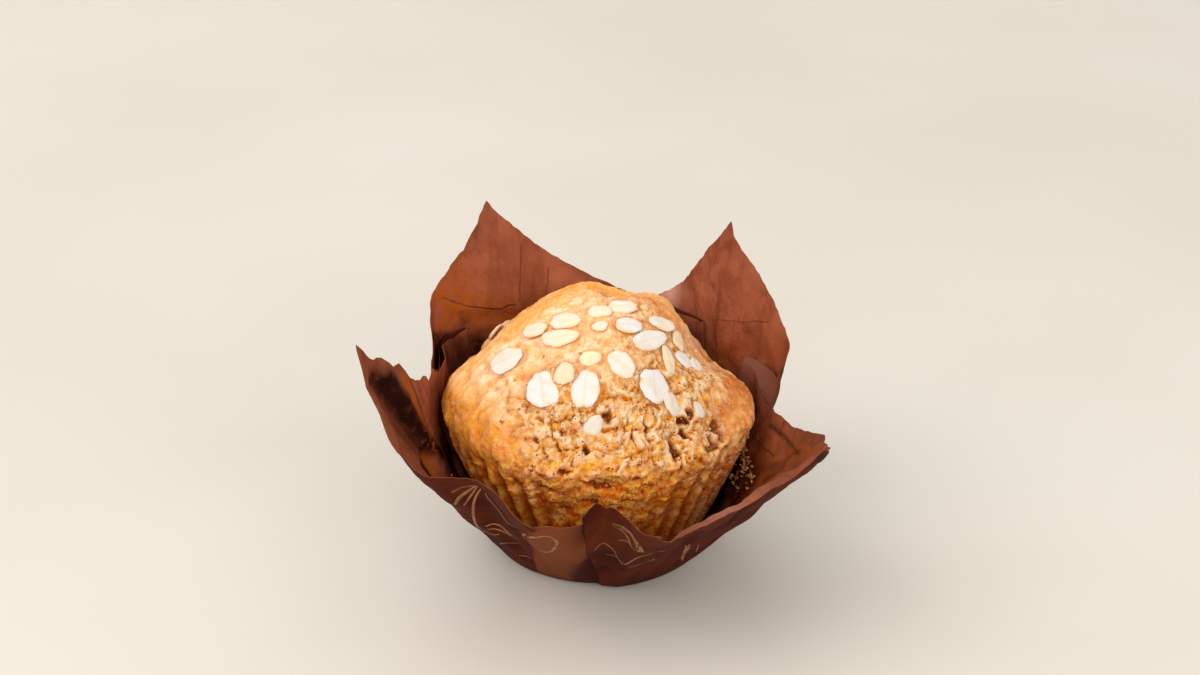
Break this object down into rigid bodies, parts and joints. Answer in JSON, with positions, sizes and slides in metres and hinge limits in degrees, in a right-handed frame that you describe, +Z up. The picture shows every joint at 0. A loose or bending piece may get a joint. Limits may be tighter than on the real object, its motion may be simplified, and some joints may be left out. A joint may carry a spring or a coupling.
{
  "type": "muffin in paper wrap",
  "caption": "Domed oat-topped muffin with craggy crumb and fluted sides, standing in its folded square sheet of brown baking paper with four flared points.",
  "frame": {"origin": "centre of the paper's flat foot, on the surface the muffin stands on", "axes": "+Z up through the muffin, +X to the right and -Y towards the viewer as shown, with the two taller paper points at the back (+Y)"},
  "size_m": [0.113, 0.11, 0.0773],
  "materials": {
    "baked_crumb": "matte",
    "brown_paper": "satin"
  },
  "bodies": {
    "root": {"muffin": "baked_crumb", "wrap": "brown_paper"}
  },
  "joints": []
}
